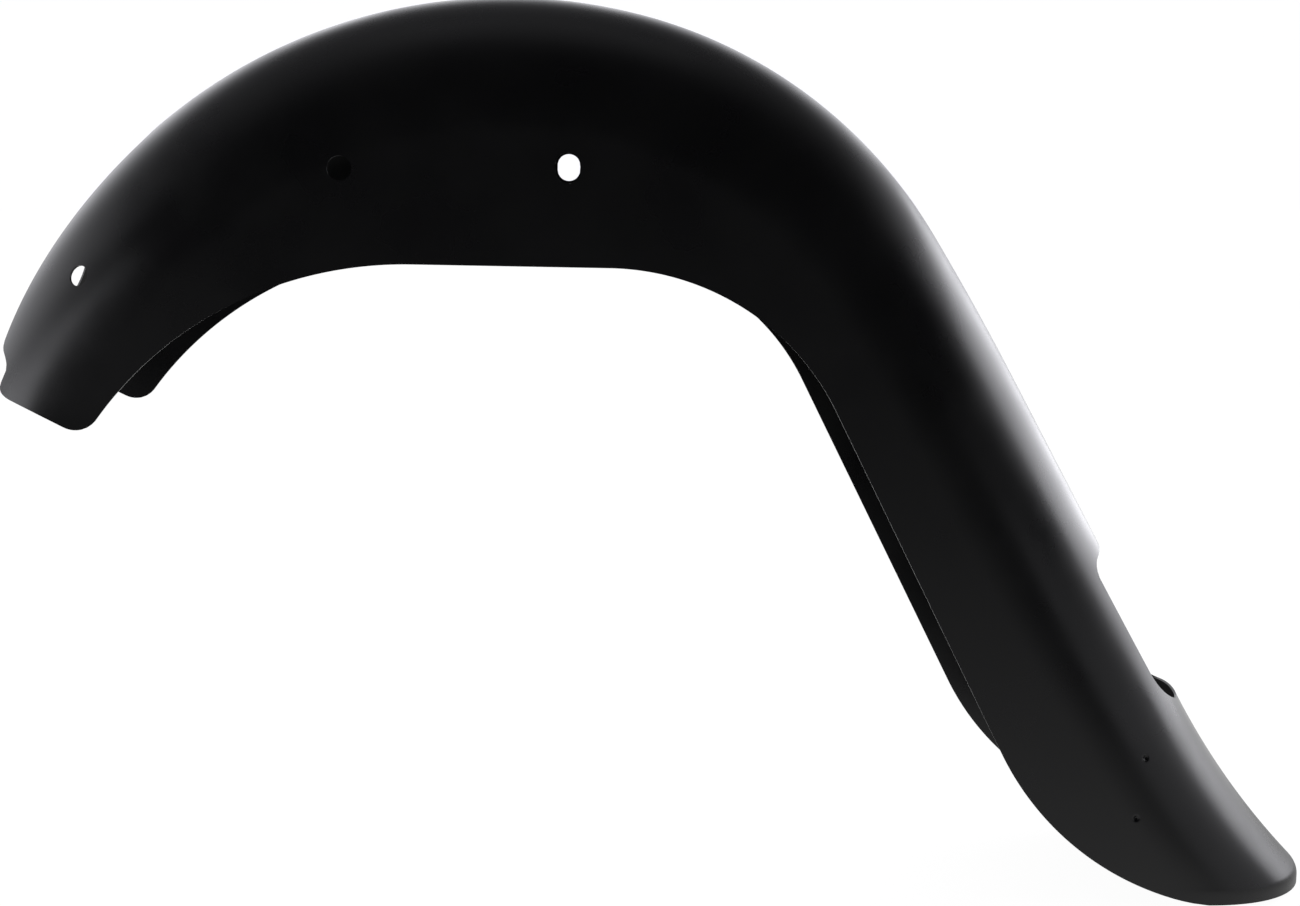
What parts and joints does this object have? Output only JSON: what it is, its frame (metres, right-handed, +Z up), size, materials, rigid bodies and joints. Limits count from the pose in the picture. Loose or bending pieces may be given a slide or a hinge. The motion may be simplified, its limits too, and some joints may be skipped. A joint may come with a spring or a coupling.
{
  "type": "motorcycle rear fender",
  "caption": "Rear motorcycle fender, a half-round steel shell with flat side walls, a slotted front end, strut bolt holes and a lamp opening in the tail.",
  "frame": {"origin": "on the axis of the front strut bolt holes, half way between the two side walls", "axes": "+X to the rear of the machine, +Y across it to its left, +Z up; the XZ plane is the mirror plane"},
  "size_m": [0.9252, 0.194, 0.6395],
  "materials": {
    "black_coat": "satin black coat on pressed steel"
  },
  "bodies": {
    "root": {"fender": "black_coat"}
  },
  "joints": []
}
